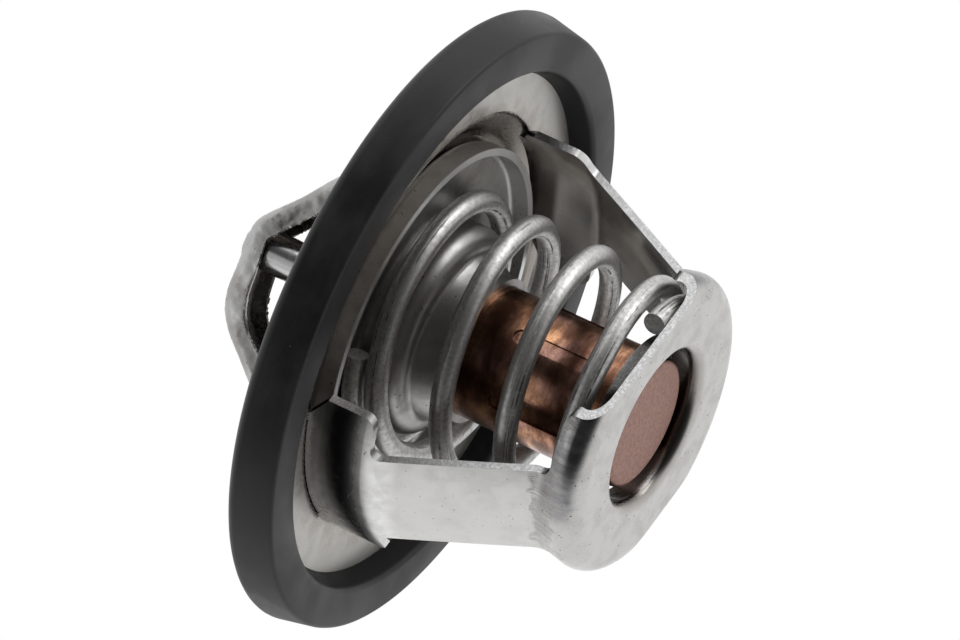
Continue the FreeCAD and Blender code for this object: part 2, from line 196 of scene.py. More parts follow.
# %% [markdown]
# ## Places on the part
# Marks lie at real places: at a height, round the axis, on an inner side, on a cut edge.
# They could be placed by a painted map, but these shapes have no good map. The shader can
# read the place and the direction of every point instead.

# %% Place helpers
def millimetres(tree, stretch=(1, 1, 1)):
    """Object coordinates in millimetres, stretched by a share along each axis."""
    place = add_node(tree, "ShaderNodeTexCoord")
    scale = [share / MM for share in stretch]
    made = add_node(tree, "ShaderNodeMapping", {"Vector": place.outputs["Object"], "Scale": scale})
    return made.outputs["Vector"]


def split_place(tree):
    """The place's three parts in millimetres, by the names X, Y and Z."""
    return add_node(tree, "ShaderNodeSeparateXYZ", {0: millimetres(tree)}).outputs


def distance_from_axis(tree):
    """Distance from the valve axis in millimetres."""
    flat = millimetres(tree, (1, 1, 0))
    return add_node(tree, "ShaderNodeVectorMath", {0: flat}, operation="LENGTH").outputs["Value"]


def surface_direction(tree):
    return add_node(tree, "ShaderNodeNewGeometry").outputs["Normal"]


def cut_edge_mask(tree):
    """One where the surface faces along Y, as the sheared edges of the lower bridge do."""
    parts = add_node(tree, "ShaderNodeSeparateXYZ", {0: surface_direction(tree)})
    along = maths(tree, "ABSOLUTE", parts.outputs["Y"])
    return ramp(tree, along, 0.90, 0.97)


def inner_side_mask(tree):
    """One where the surface looks towards the valve axis."""
    facing = surface_direction(tree)
    outward = millimetres(tree, (1, 1, 0))
    turned_out = add_node(tree, "ShaderNodeVectorMath", {0: facing, 1: outward}, operation="DOT_PRODUCT")
    return ramp(tree, turned_out.outputs["Value"], -1.0, -6.0)


print("place helpers ready")

# %% [markdown]
# ## Materials
# Each finish ends in one Principled shader, and only three or four of its sockets matter.
# So one helper starts a material, one fills it, and one puts it on solids of the part.

# %% Material helpers
def new_material(name):
    """An empty material, its node tree and its Principled shader."""
    material = bpy.data.materials.new(name)
    material.use_nodes = True
    tree = material.node_tree
    return material, tree, tree.nodes["Principled BSDF"]


def feed(tree, shader, name, output):
    tree.links.new(output, shader.inputs[name])


def fill_shader(tree, shader, colour, rough, normal, metallic=1.0):
    feed(tree, shader, "Base Color", colour)
    feed(tree, shader, "Roughness", rough)
    feed(tree, shader, "Normal", normal)
    shader.inputs["Metallic"].default_value = metallic


def dress(name, material):
    """Give a CAD node a finish."""
    slots = NODES[name].data.materials
    slots.clear()
    slots.append(material)
    print(material.name, "on", name)


print("material helpers ready")

# %% [markdown]
# ## Shared wear
# The steel pieces share the same marks: cloudy stains from washing, tiny dark pits, and
# fine scuffs. They could be painted, but a painted map has seams on such shapes. A node
# group reads the object's own coordinates, so it has no seam, and one group serves every
# steel finish with its own amounts.

# %% Group for wear on metal
CLOUD_SCALE = 0.35
PIT_SCALE = 1.4


def make_wear_group():
    """Clouds, pits and scuffs as masks, and their height for a bump."""
    group = bpy.data.node_groups.new("metal_wear", "ShaderNodeTree")
    for name in ("Vector", "Scuff Vector"):
        group.interface.new_socket(name, in_out="INPUT", socket_type="NodeSocketVector")
    for name in ("Clouds", "Pits", "Scuffs", "Height"):
        group.interface.new_socket(name, in_out="OUTPUT", socket_type="NodeSocketFloat")
    start = group.nodes.new("NodeGroupInput")
    end = group.nodes.new("NodeGroupOutput")
    place = start.outputs["Vector"]

    clouds = ramp(group, noise(group, place, CLOUD_SCALE, 5.0, 0.62), 0.40, 0.68)
    cells = add_node(group, "ShaderNodeTexVoronoi", {"Vector": place, "Scale": PIT_SCALE})
    rare = ramp(group, noise(group, place, 0.9, 2.0), 0.46, 0.62)
    pits = times(group, ramp(group, cells.outputs["Distance"], 0.17, 0.08), rare)
    scuffs = ramp(group, noise(group, start.outputs["Scuff Vector"], 1.6, 4.0, 0.7), 0.56, 0.70)
    marks = plus(group, times(group, pits, -1.0), times(group, scuffs, -0.35))
    grain = times(group, noise(group, place, 9.0, 3.0, 0.6), 0.25)
    height = plus(group, marks, grain)
    for name, output in (("Clouds", clouds), ("Pits", pits), ("Scuffs", scuffs), ("Height", height)):
        group.links.new(output, end.inputs[name])
    return group


metal_wear = make_wear_group()
print("wear group:", [item.name for item in metal_wear.interface.items_tree])

# %% [markdown]
# ## Steel surface
# The plate, the disc and both bridges are cold-rolled steel strip, drawn and cut in a
# press. They could be made shiny with one plain roughness, but then they look like
# chrome. Real strip is duller where it is stained and pitted, so the roughness is made of
# the same clouds and pits as the colour.

# %% Steel surface
STEEL_LIGHT = (0.54, 0.535, 0.525, 1)
STEEL_DARK = (0.27, 0.255, 0.24, 1)
# Dark of the pits, and also painted shade in the end ring's hole.
PITS_AND_SHADE_DARK = (0.06, 0.05, 0.045, 1)
# Bare metal of cut edges and scratches, and also the painted highlight on the disc's rim.
CUT_BRIGHT_AND_HIGHLIGHT = (0.62, 0.62, 0.62, 1)


def steel_surface(tree, light, roughness, stain, stretch=(1, 1, 1), wave=0.3, grit=0.6):
    """Colour, roughness and normal of worn steel.

    The stretch draws the scuffs out along an axis. The wave is the depth of broad
    hollows in millimetres, and the grit is the strength of the fine marks."""
    plain = millimetres(tree)
    sockets = {"Vector": plain, "Scuff Vector": millimetres(tree, stretch)}
    wear = add_node(tree, "ShaderNodeGroup", sockets, node_tree=metal_wear)
    clouds = wear.outputs["Clouds"]
    pits = wear.outputs["Pits"]
    colour = mix_colours(tree, times(tree, clouds, stain), light, STEEL_DARK)
    colour = mix_colours(tree, times(tree, wear.outputs["Scuffs"], 0.22), colour, STEEL_DARK)
    grain = ramp(tree, noise(tree, plain, 6.5, 3.0, 0.7), 0.3, 0.7, 0.0, 0.22)
    colour = mix_colours(tree, grain, colour, STEEL_DARK)
    colour = mix_colours(tree, pits, colour, PITS_AND_SHADE_DARK)
    dull = ramp(tree, clouds, 0, 1, roughness, roughness + 0.08)
    rough = plus(tree, dull, times(tree, pits, 0.3), clamp=True)
    normal = bump(tree, noise(tree, plain, 0.16, 2.0, 0.5), wave)
    normal = bump(tree, wear.outputs["Height"], 0.02, grit, normal)
    return colour, rough, normal


print("steel surface ready")

# %% [markdown]
# ## Plate and disc
# The flange plate is smooth strip, with painted shade, a darker brown, round the valve
# seat. The disc is satin, and its rim has a painted highlight, a bright line along its lower
# edge. Both marks go by the distance from the valve axis, because pressings are round.

# %% Plate and disc
PLATE_LIGHT = (0.43, 0.418, 0.395, 1)
PAINTED_SEAT_SHADE = (0.26, 0.235, 0.21, 1)
DISC_GREY = (0.42, 0.415, 0.405, 1)

# Millimetres
SEAT_SHADE_RADIUS = 23.2
SEAT_SHADE_FADE = 2.4
RIM_RADIUS = 18.6
RIM_LOW_EDGE = 2.10


def plate_steel():
    """Plate steel with painted shade, a darker brown, round the valve seat."""
    material, tree, shader = new_material("plate_steel")
    colour, rough, normal = steel_surface(tree, PLATE_LIGHT, 0.34, 0.15, wave=0.0, grit=0.0)
    colour = mix_colours(tree, 0.9, colour, PLATE_LIGHT)
    grain = ramp(tree, noise(tree, millimetres(tree), 9.0, 3.0, 0.7), 0.35, 0.70, 0.0, 0.25)
    colour = mix_colours(tree, grain, colour, STEEL_DARK)
    drift = ramp(tree, noise(tree, millimetres(tree), 0.4, 4.0), 0.3, 0.7, -1.2, 1.2)
    from_axis = plus(tree, distance_from_axis(tree), drift)
    # Painted shade: darker brown round the valve seat, fading outwards.
    stain = ramp(tree, from_axis, SEAT_SHADE_RADIUS, SEAT_SHADE_RADIUS + SEAT_SHADE_FADE, 0.80, 0.0)
    colour = mix_colours(tree, stain, colour, PAINTED_SEAT_SHADE)
    fill_shader(tree, shader, colour, mix_values(tree, stain, rough, 0.24), normal)
    return material


def disc_steel():
    """Satin steel, with a painted highlight along the lower edge of the rim."""
    material, tree, shader = new_material("disc_steel")
    colour, rough, normal = steel_surface(tree, DISC_GREY, 0.38, 0.5, wave=0.05)
    at_rim = ramp(tree, distance_from_axis(tree), RIM_RADIUS, RIM_RADIUS + 0.3)
    on_edge = ramp(tree, split_place(tree)["Z"], RIM_LOW_EDGE, RIM_LOW_EDGE - 0.12)
    # Painted highlight: a bright line along the rim's lower edge.
    colour = mix_colours(tree, times(tree, at_rim, on_edge), colour, CUT_BRIGHT_AND_HIGHLIGHT)
    fill_shader(tree, shader, colour, rough, normal)
    return material


dress("flange_plate", plate_steel())
dress("valve_disc", disc_steel())

# %% [markdown]
# ## Legs of the lower bridge
# The bridge shows best how it was made. The foot of each leg, next to the flange, was
# ironed smooth by the die. It is a mirror, with a painted dark reflection on it, a painted
# highlight below it where the leg bends, and scratches on one side. The leg itself is satin
# strip, painted lighter as a painted reflection. Each mark could be a material of its own,
# but then their borders would be hard lines. Bands of height with soft ends let them run into each other.

# %% Marks on the legs
PAINTED_STRIP_LIGHT = (0.65, 0.645, 0.635, 1)
PAINTED_FOOT_REFLECTION = (0.24, 0.24, 0.245, 1)
PAINTED_BEND_HIGHLIGHT = (0.80, 0.80, 0.80, 1)

# Millimetres
SHOULDER_HEIGHT = -4.7
CREASE_HEIGHT = -20.4


def leg_marks(tree, colour, rough, height):
    """Satin strip painted lighter as a painted reflection, and the ironed foot with its painted highlight,
    painted dark reflection and cloudy bands.
    """
    plain = millimetres(tree)
    on_strip = band(tree, height, CREASE_HEIGHT, SHOULDER_HEIGHT, 0.5)
    # Painted reflection: the strip of each leg is painted lighter than the same steel elsewhere.
    colour = mix_colours(tree, times(tree, on_strip, 0.55), colour, PAINTED_STRIP_LIGHT)

    uneven = ramp(tree, noise(tree, plain, 0.6, 4.0, 0.6), 0.35, 0.65, 0.1, 0.75)
    # Painted highlight: near white, uneven, where the leg bends into its foot.
    bend_highlight = band(tree, height, SHOULDER_HEIGHT - 2.0, SHOULDER_HEIGHT + 0.2, 1.1)
    colour = mix_colours(tree, times(tree, bend_highlight, uneven), colour, PAINTED_BEND_HIGHLIGHT)

    tool_bands = noise(tree, millimetres(tree, (0.05, 0.05, 1)), 0.9, 2.0)
    pressed = ramp(tree, tool_bands, 0.35, 0.65, 0.92, 0.70)
    # Painted reflection: the mirror foot painted dark, with faint bands from the tool.
    dark_reflection = ramp(tree, height, SHOULDER_HEIGHT + 0.8, SHOULDER_HEIGHT + 3.4)
    colour = mix_colours(tree, times(tree, dark_reflection, pressed), colour, PAINTED_FOOT_REFLECTION)

    fogged = ramp(tree, noise(tree, plain, 0.8, 4.0, 0.6), 0.25, 0.75, 0.45, 0.85)
    cloudy = band(tree, height, SHOULDER_HEIGHT - 0.4, SHOULDER_HEIGHT + 1.6, 1.8)
    rough = mix_values(tree, times(tree, cloudy, fogged), rough, 0.38)
    return colour, rough


def leg_scratches(tree, colour, rough, side, foot):
    """Bright scratches on the foot, on the side that lies towards -Y."""
    streaks = noise(tree, millimetres(tree, (0.3, 3.0, 0.25)), 1.0, 4.0, 0.75)
    low_side = ramp(tree, side, -1.0, -5.0, 0.0, 0.8)
    scratches = times(tree, times(tree, ramp(tree, streaks, 0.56, 0.66), low_side), foot)
    colour = mix_colours(tree, scratches, colour, CUT_BRIGHT_AND_HIGHLIGHT)
    return colour, mix_values(tree, scratches, rough, 0.5)


print("leg marks ready")

# %% [markdown]
# ## End ring of the lower bridge
# Where the sheet was bent, the die brushed it: fine lines lie across the bend. The wall of
# the end ring is smoother, with a painted dark reflection in streaks on the side where it is
# high. The edge of the hole in the middle is painted dark, as painted shade.

# %% Marks on the end ring
SHOULDER_SHADE = (0.16, 0.16, 0.17, 1)

# Millimetres
WALL_LOW = -24.9
WALL_HIGH = -22.2
SHADE_LOW = -24.7
SHADE_HIGH = -21.0
RING_FACE = -25.2
HOLE_RADIUS = 9.4


def wall_marks(tree, colour, rough, height, side):
    """The smoother wall of the end ring, shaded where it stands high, towards +Y."""
    rough = mix_values(tree, band(tree, height, WALL_LOW, WALL_HIGH, 0.6), rough, 0.21)
    streaks = noise(tree, millimetres(tree, (1, 1, 0.15)), 0.9, 3.0, 0.6)
    high_side = ramp(tree, side, 0.5, 4.5)
    shaded = times(tree, band(tree, height, SHADE_LOW, SHADE_HIGH, 0.5), high_side)
    # Painted dark reflection, broken into streaks, on the high side of the wall.
    shaded = times(tree, shaded, ramp(tree, streaks, 0.3, 0.65, 0.95, 0.55))
    return mix_colours(tree, shaded, colour, SHOULDER_SHADE), rough


def bend_lines(tree, colour, normal, wandering):
    """Fine lines that the die brushed across the bend at the foot of the leg."""
    brushed = band(tree, wandering, CREASE_HEIGHT - 2.4, CREASE_HEIGHT + 0.3, 0.3)
    fine = noise(tree, millimetres(tree, (0.15, 4.0, 0.2)), 1.0, 4.0, 0.7)
    lines = ramp(tree, fine, 0.38, 0.60)
    colour = mix_colours(tree, times(tree, times(tree, brushed, lines), 0.55), colour, STEEL_DARK)
    return colour, bump(tree, lines, 0.03, times(tree, brushed, 0.8), normal)


def paint_hole_shade(tree, colour, height):
    # Painted shade: the edge of the hole darkened where the copper cup sits in it.
    in_hole = ramp(tree, distance_from_axis(tree), HOLE_RADIUS + 0.6, HOLE_RADIUS)
    painted_hole_shade = times(tree, in_hole, ramp(tree, height, RING_FACE, RING_FACE + 0.7))
    return mix_colours(tree, times(tree, painted_hole_shade, 0.85), colour, PITS_AND_SHADE_DARK)


print("ring marks ready")

# %% [markdown]
# ## Steel of the lower bridge
# The marks are laid one over the other, the real ones as they came on the real bridge: first
# the strip and the die's marks with the painted reflections and highlight, then the scratches,
# the painted shade on the inner side and the painted shade in the hole. The cut edges come
# last, because cutting was the last thing done. They all face along Y, so the surface normal finds them.

# %% Lower bridge
PAINTED_INNER_SHADE = (0.34, 0.32, 0.295, 1)
EDGE_GREY = (0.34, 0.34, 0.34, 1)


def torn_edges(tree, colour, rough, normal):
    """Cut edges, dull where the sheet was sheared and bright where it tore."""
    edge = cut_edge_mask(tree)
    torn = noise(tree, millimetres(tree), 5.0, 4.0, 0.7)
    edge_colour = mix_colours(tree, ramp(tree, torn, 0.42, 0.66, 0.0, 0.8), EDGE_GREY, CUT_BRIGHT_AND_HIGHLIGHT)
    colour = mix_colours(tree, edge, colour, edge_colour)
    rough = mix_values(tree, edge, rough, 0.30)
    return colour, rough, bump(tree, times(tree, torn, edge), 0.04, 0.6, normal)


def bridge_steel():
    material, tree, shader = new_material("bridge_steel")
    place = split_place(tree)
    height = place["Z"]
    side = place["Y"]
    colour, rough, normal = steel_surface(tree, STEEL_LIGHT, 0.29, 0.25, (1, 1, 0.10), wave=0.12)

    drift = noise(tree, millimetres(tree), 0.35, 3.0, 0.6)
    wandering = plus(tree, height, ramp(tree, drift, 0.3, 0.7, -0.7, 0.7))
    foot = ramp(tree, wandering, SHOULDER_HEIGHT - 1.0, SHOULDER_HEIGHT + 4.2)
    rough = mix_values(tree, foot, rough, ramp(tree, drift, 0.3, 0.7, 0.11, 0.16))

    colour, rough = leg_marks(tree, colour, rough, height)
    colour, rough = wall_marks(tree, colour, rough, height, side)
    colour, normal = bend_lines(tree, colour, normal, wandering)
    colour, rough = leg_scratches(tree, colour, rough, side, foot)

    # Painted shade: the inner side of the legs, which faces the spring, painted darker.
    inside = inner_side_mask(tree)
    colour = mix_colours(tree, times(tree, inside, 0.7), colour, PAINTED_INNER_SHADE)
    rough = mix_values(tree, inside, rough, 0.22)
    colour = paint_hole_shade(tree, colour, height)
    colour, rough, normal = torn_edges(tree, colour, rough, normal)
    fill_shader(tree, shader, colour, rough, normal)
    return material


dress("lower_bridge", bridge_steel())

# %% [markdown]
# ## Modelling helpers
# The next pieces are modelled in Blender, with the same operators that a person would pick
# from its menus. An operator works on what is selected and active, so small helpers
# select, apply a modifier, and pick edges by a test on their two ends.

# %% Modelling helpers
WELD = 0.001 * MM


def select_nothing():
    if bpy.context.object and bpy.context.object.mode != "OBJECT":
        bpy.ops.object.mode_set(mode="OBJECT")
    bpy.ops.object.select_all(action="DESELECT")


def make_active(piece):
    select_nothing()
    piece.select_set(True)
    bpy.context.view_layer.objects.active = piece


def apply_modifier(piece, kind, **options):
    make_active(piece)
    made = piece.modifiers.new(kind.lower(), kind)
    for name, value in options.items():
        setattr(made, name, value)
    bpy.ops.object.modifier_apply(modifier=made.name)


def weld_all():
    """In edit mode, select the whole mesh and join points that lie in one place."""
    bpy.ops.mesh.select_all(action="SELECT")
    bpy.ops.mesh.remove_doubles(threshold=WELD)


def select_edges(piece, wanted):
    """Select the edges of the active mesh that a test on their two ends accepts."""
    bpy.ops.object.mode_set(mode="EDIT")
    bpy.ops.mesh.select_mode(type="EDGE")
    bpy.ops.mesh.select_all(action="DESELECT")
    mesh = bmesh.from_edit_mesh(piece.data)
    for edge in mesh.edges:
        edge.select = wanted(edge.verts[0].co, edge.verts[1].co)
    mesh.select_flush_mode()
    bmesh.update_edit_mesh(piece.data)


print("modelling helpers ready")

# %% [markdown]
# ## Upper bridge
# The arch was bent by a rough tool, so its sides are full of flat dents and its free edges
# are ragged. A bump could fake the dents but not the ragged outline. A copy of the solid is
# joined up, given an even skin by the Remesh modifier, and pushed inwards by two cloud
# textures, one for dents and one for torn edges. It only shrinks, so it still fits.

# %% Dent the upper bridge
# Millimetres
SKIN_CELL = 0.22
DENT_SIZE = 5.5
DENT_DEPTH = 0.60
TEAR_SIZE = 0.7
TEAR_DEPTH = 0.09


def working_copy(node, name):
    """A copy of a CAD node's solid, with its loose triangles joined up."""
    solid = NODES[node]
    piece = bpy.data.objects.new(name, solid.data.copy())
    piece.matrix_world = solid.matrix_world
    bpy.context.collection.objects.link(piece)
    make_active(piece)
    bpy.ops.object.transform_apply(location=True, rotation=True, scale=True)
    bpy.ops.object.mode_set(mode="EDIT")
    weld_all()
    bpy.ops.object.mode_set(mode="OBJECT")
    return piece


def push_in(piece, name, size, detail, depth):
    """Push the skin inwards by a cloud texture. Nothing moves outwards."""
    clouds = bpy.data.textures.new(name, "CLOUDS")
    clouds.noise_scale = size * MM
    clouds.noise_depth = detail
    apply_modifier(
        piece, "DISPLACE",
        texture=clouds, texture_coords="LOCAL", mid_level=1.0, strength=depth * MM,
    )


def dent_arch():
    piece = working_copy("upper_bridge", "dented_arch")
    apply_modifier(piece, "REMESH", mode="VOXEL", voxel_size=SKIN_CELL * MM)
    push_in(piece, "dents", DENT_SIZE, 0, DENT_DEPTH)
    push_in(piece, "tears", TEAR_SIZE, 2, TEAR_DEPTH)
    bpy.ops.object.shade_smooth_by_angle(angle=math.radians(45))
    return piece


dented_arch = dent_arch()
print("arch", len(dented_arch.data.polygons), "faces")

# %% [markdown]
# ## Steel of the arch
# Outside, the arch is dull steel with broad darker patches. The hollow of its channel is
# painted almost black, as painted shade, because it sees little light. The inner side mask finds it.

# %% Steel of the arch
ARCH_GREY = (0.45, 0.45, 0.45, 1)
ARCH_SHADE = (0.06, 0.057, 0.055, 1)


def arch_steel():
    """Dull steel outside, and painted shade, almost black, in the hollow of the channel."""
    material, tree, shader = new_material("arch_steel")
    colour, rough, normal = steel_surface(tree, ARCH_GREY, 0.24, 0.25, wave=0.9)
    patches = ramp(tree, noise(tree, millimetres(tree), 0.22, 1.0, 0.5), 0.42, 0.58, 0.0, 0.55)
    colour = mix_colours(tree, patches, colour, STEEL_DARK)
    # Painted shade in the hollow of the channel.
    colour = mix_colours(tree, times(tree, inner_side_mask(tree), 0.85), colour, ARCH_SHADE)
    fill_shader(tree, shader, colour, rough, normal)
    return material


dented_arch.data.materials.clear()
dented_arch.data.materials.append(arch_steel())
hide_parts("upper_bridge")
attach(dented_arch, "frame")
print("arch_steel on dented_arch")

# %% [markdown]
# ## Copper cup
# The wax cup is deep-drawn copper. Its side is handled and stained: dark brown patches
# and bands that run round it, with bare orange copper between. The end face was pressed
# flat and is dull and pink. The surface normal tells the two zones apart, because only the
# end face looks down.

# %% Copper
COPPER_BARE = (0.70, 0.37, 0.20, 1)
COPPER_BROWN = (0.14, 0.064, 0.040, 1)
COPPER_PINK = (0.60, 0.34, 0.28, 1)
COPPER_END = (0.36, 0.215, 0.18, 1)
COPPER_END_DARK = (0.22, 0.125, 0.10, 1)


def stained_side(tree, plain):
    """Colour of the cup's side, and how bare it is."""
    patches = noise(tree, plain, 0.22, 5.0, 0.62)
    bands = noise(tree, millimetres(tree, (0.35, 0.35, 1.3)), 0.40, 4.0, 0.6)
    bareness = ramp(tree, plus(tree, patches, bands), 0.86, 1.26)
    tint = ramp(tree, noise(tree, plain, 0.15, 2.0), 0.42, 0.62)
    bare = mix_colours(tree, tint, COPPER_BARE, COPPER_PINK)
    colour = mix_colours(tree, bareness, COPPER_BROWN, bare)
    grain = ramp(tree, noise(tree, plain, 5.0, 3.0, 0.7), 0.35, 0.7, 0.0, 0.35)
    return mix_colours(tree, grain, colour, COPPER_BROWN), bareness


def worn_copper():
    material, tree, shader = new_material("worn_copper")
    plain = millimetres(tree)
    colour, bareness = stained_side(tree, plain)
    facing = add_node(tree, "ShaderNodeSeparateXYZ", {0: surface_direction(tree)})
    end_face = ramp(tree, times(tree, facing.outputs["Z"], -1.0), 0.6, 0.95)
    speckle = ramp(tree, noise(tree, plain, 2.2, 5.0, 0.85), 0.42, 0.60)
    end_colour = mix_colours(tree, times(tree, speckle, 0.7), COPPER_END, COPPER_END_DARK)
    colour = mix_colours(tree, end_face, colour, end_colour)
    rough = mix_values(tree, end_face, ramp(tree, bareness, 0, 1, 0.26, 0.20), 0.55)
    scratches = noise(tree, millimetres(tree, (3, 3, 0.2)), 3.0, 3.0, 0.7)
    surface = plus(tree, times(tree, scratches, 0.4), noise(tree, plain, 1.1, 4.0, 0.6))
    fill_shader(tree, shader, colour, rough, bump(tree, surface, 0.04, 0.5))
    return material


dress("wax_cup", worn_copper())

# %% [markdown]
# ## Rubber
# The sealing ring is moulded black rubber. It is dark but not dead: the mould leaves a
# soft sheen, and handling leaves dust and faint smears. Its inner lip is duller than the
# rest. The boot inside the cup is the same rubber, only rougher.

# %% Rubber
RUBBER_BLACK = (0.006, 0.006, 0.0065, 1)
RUBBER_DUST = (0.030, 0.030, 0.032, 1)
DUST_SPECK = (0.30, 0.28, 0.26, 1)
SHEEN = 0.26
LIP_SHEEN = 0.06

# Millimetres
LIP_RADIUS = 28.95


def moulded_rubber(name, roughness):
    material, tree, shader = new_material(name)
    plain = millimetres(tree)
    smears = noise(tree, millimetres(tree, (0.4, 0.4, 0.8)), 0.22, 5.0, 0.6)
    smears = ramp(tree, smears, 0.35, 0.75)
    colour = mix_colours(tree, times(tree, smears, 0.5), RUBBER_BLACK, RUBBER_DUST)
    cells = add_node(tree, "ShaderNodeTexVoronoi", {"Vector": plain, "Scale": 0.9})
    rare = ramp(tree, noise(tree, plain, 0.45, 2.0), 0.60, 0.72)
    specks = times(tree, ramp(tree, cells.outputs["Distance"], 0.07, 0.03), rare)
    colour = mix_colours(tree, specks, colour, DUST_SPECK)
    rough = ramp(tree, smears, 0, 1, roughness, roughness + 0.14)
    surface = plus(tree, noise(tree, plain, 7.0, 3.0, 0.6), times(tree, specks, 2.0))
    on_lip = ramp(tree, distance_from_axis(tree), LIP_RADIUS + 0.2, LIP_RADIUS)
    feed(tree, shader, "Specular IOR Level", mix_values(tree, on_lip, SHEEN, LIP_SHEEN))
    fill_shader(tree, shader, colour, rough, bump(tree, surface, 0.03, 0.5), metallic=0.0)
    return material


dress("rubber_boot", moulded_rubber("boot_rubber", 0.55))

# %% [markdown]
# ## Sealing ring
# A moulded ring has perfectly round edges, and at this size the eye catches every corner of
# a coarse one. It could be smoothed by a modifier, but that would soften its groove. So a
# circle of 288 points is extruded round the ring's section, corner by corner, and the outer
# corners are rounded with a bevel.

# %% Spin the sealing ring
SEAL_STEPS = 288

# Millimetres
SEAL_ROUND = 0.4
SEAL_INNER = 29.2
SEAL_FRONT = 33.5
SEAL_WIDEST = 34.4
SEAL_BACK = 33.6
SEAL_HEIGHT = 5.2
WIDEST_HEIGHT = 4.4
GROOVE_MOUTH = 28.2
GROOVE_END = 31.8
GROOVE_LOW = 2.6
GROOVE_TOP = 3.6
NEAR = 0.05
LEVEL = 0.01

ROUND_CORNERS = [
    (SEAL_INNER, 0.0),
    (SEAL_FRONT, 0.0),
    (SEAL_WIDEST, WIDEST_HEIGHT),
    (SEAL_BACK, SEAL_HEIGHT),
    (SEAL_INNER, SEAL_HEIGHT),
]
GROOVE_CORNERS = [
    (GROOVE_MOUTH, GROOVE_TOP),
    (GROOVE_END, GROOVE_TOP),
    (GROOVE_END, GROOVE_LOW),
    (GROOVE_MOUTH, GROOVE_LOW),
]
SEAL_SECTION = ROUND_CORNERS + GROOVE_CORNERS


def at_round_corner(point):
    across = math.hypot(point.x, point.y) / MM
    up = point.z / MM
    return any(math.hypot(across - radius, up - height) < NEAR for radius, height in ROUND_CORNERS)


def runs_round_corner(first, second):
    """True for an edge that runs round the ring along a corner to be rounded."""
    same_height = abs(first.z - second.z) < LEVEL * MM
    same_radius = abs(math.hypot(first.x, first.y) - math.hypot(second.x, second.y)) < LEVEL * MM
    return same_height and same_radius and at_round_corner(first) and at_round_corner(second)


def extrude_round(section):
    """Carry the active circle from corner to corner of the section, and back to the first."""
    radius, height = section[0]
    for next_radius, next_height in section[1:] + section[:1]:
        share = next_radius / radius
        rise = (next_height - height) * MM
        bpy.ops.mesh.extrude_region_move(TRANSFORM_OT_translate={"value": (0, 0, rise)})
        bpy.ops.transform.resize(value=(share, share, 1), center_override=(0, 0, 0))
        radius, height = next_radius, next_height


def spin_seal():
    select_nothing()
    radius, height = SEAL_SECTION[0]
    bpy.ops.mesh.primitive_circle_add(vertices=SEAL_STEPS, radius=radius * MM, location=(0, 0, height * MM))
    ring = bpy.context.object
    ring.name = "spun_seal"
    bpy.ops.object.transform_apply(location=True)
    bpy.ops.object.mode_set(mode="EDIT")
    bpy.ops.mesh.select_all(action="SELECT")
    extrude_round(SEAL_SECTION)
    weld_all()
    bpy.ops.mesh.normals_make_consistent(inside=False)
    select_edges(ring, runs_round_corner)
    bpy.ops.mesh.bevel(offset=SEAL_ROUND * MM, segments=3, affect="EDGES")
    bpy.ops.object.mode_set(mode="OBJECT")
    bpy.ops.object.shade_smooth_by_angle(angle=math.radians(35))
    return ring


spun_seal = spin_seal()
spun_seal.data.materials.append(moulded_rubber("seal_rubber", 0.40))
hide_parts("seal_ring")
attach(spun_seal, "frame")
print("seal", len(spun_seal.data.polygons), "faces")

# %% [markdown]
# ## Small turned and filled pieces
# The guide is turned brass with fine rings from the tool. The wax is a brown solid, hidden
# in the closed cup. The piston is ground and polished, so it mirrors all round it, with
# faint rings where it slides. One function serves both turned pieces, because they differ
# only in colour, roughness and the closeness of the rings.

# %% Brass, wax and polished steel
BRASS_BARE = (0.36, 0.32, 0.26, 1)
BRASS_DULL = (0.16, 0.13, 0.10, 1)
PISTON_BARE = (0.55, 0.55, 0.55, 1)
PISTON_DULL = (0.30, 0.29, 0.28, 1)
WAX_LIGHT = (0.62, 0.42, 0.25, 1)
WAX_DARK = (0.45, 0.27, 0.15, 1)


def turned_metal(name, bare, dull, roughness, ring_scale):
    material, tree, shader = new_material(name)
    rings = noise(tree, millimetres(tree, (0.05, 0.05, 1)), ring_scale, 2.0, 0.5)
    stain = ramp(tree, noise(tree, millimetres(tree), 0.5, 4.0), 0.45, 0.75)
    colour = mix_colours(tree, times(tree, stain, 0.6), bare, dull)
    rough = ramp(tree, stain, 0, 1, roughness, roughness + 0.12)
    fill_shader(tree, shader, colour, rough, bump(tree, rings, 0.02, 0.4))
    return material


def cast_wax():
    material, tree, shader = new_material("cast_wax")
    grains = ramp(tree, noise(tree, millimetres(tree), 1.5, 4.0), 0.4, 0.7)
    colour = mix_colours(tree, grains, WAX_LIGHT, WAX_DARK)
    rough = ramp(tree, grains, 0, 1, 0.45, 0.6)
    fill_shader(tree, shader, colour, rough, bump(tree, grains, 0.05, 0.4), metallic=0.0)
    return material


dress("guide_body", turned_metal("turned_brass", BRASS_BARE, BRASS_DULL, 0.20, 3.0))
dress("wax_charge", cast_wax())
dress("piston", turned_metal("polished_steel", PISTON_BARE, PISTON_DULL, 0.22, 1.2))

# %% [markdown]
# ## The spring
# The real spring is a straight drawn wire wound on a mandrel, so it is made the same way
# here: a round rod is added, cut into short lengths, and bent along a helix by a Curve
# modifier. The rod keeps its own map, along and round the wire, through the bending, and
# the drawing marks of the wire can follow that map.

# %% Spring path
WIRE_RADIUS = 1.2 * MM
SPRING_TURNS = 4.79
CLOSED_TURNS = 0.92
CLOSED_RISE = 2.0 * MM
CLOSED_WIDENING = 0.55
DISC_COIL_RADIUS = 13.7 * MM
RING_COIL_RADIUS = 12.3 * MM
COIL_SHIFT = 0.7 * MM
TIP_ANGLE = math.radians(106.3)
STEPS_A_TURN = 48

spring_low, spring_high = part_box("main_spring")
COIL_BOTTOM = spring_low.z + WIRE_RADIUS
COIL_TOP = spring_high.z - WIRE_RADIUS


